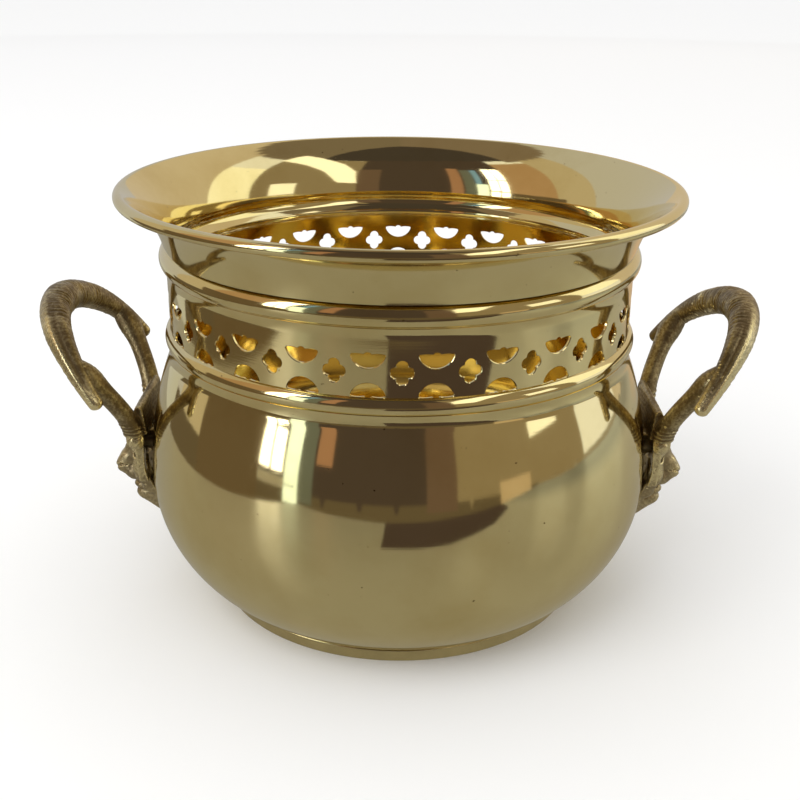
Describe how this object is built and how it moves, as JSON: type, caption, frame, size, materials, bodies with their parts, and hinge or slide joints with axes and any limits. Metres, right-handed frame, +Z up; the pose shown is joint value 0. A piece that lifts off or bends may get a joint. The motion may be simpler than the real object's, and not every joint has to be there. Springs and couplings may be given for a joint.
{
  "type": "brass planter pot",
  "caption": "Round-bellied brass planter pot on a foot ring, with a pierced collar, flared wired rim and horned loop handles.",
  "frame": {"origin": "on the table under the pot's axis, in the plane of the foot ring's lower face", "axes": "+Z up along the pot's axis, +X towards the right-hand handle, -Y towards the front"},
  "size_m": [0.3162, 0.24, 0.1852],
  "materials": {
    "spun_brass": "mirror polished, spun",
    "foot_brass": "satin, lightly scuffed",
    "wire_brass": "drawn, dull",
    "cast_brass": "cast, brown patina in the hollows, rubbed bright on the high points",
    "screw_brass": "turned, dull"
  },
  "bodies": {
    "root": {"bowl": "spun_brass", "foot_ring": "foot_brass", "collar": "spun_brass", "rim_wire": "wire_brass", "left_mask": "cast_brass", "right_mask": "cast_brass", "left_fork": "cast_brass", "right_fork": "cast_brass", "left_horns": "cast_brass", "right_horns": "cast_brass", "screws": "screw_brass", "washers": "screw_brass"}
  },
  "joints": []
}
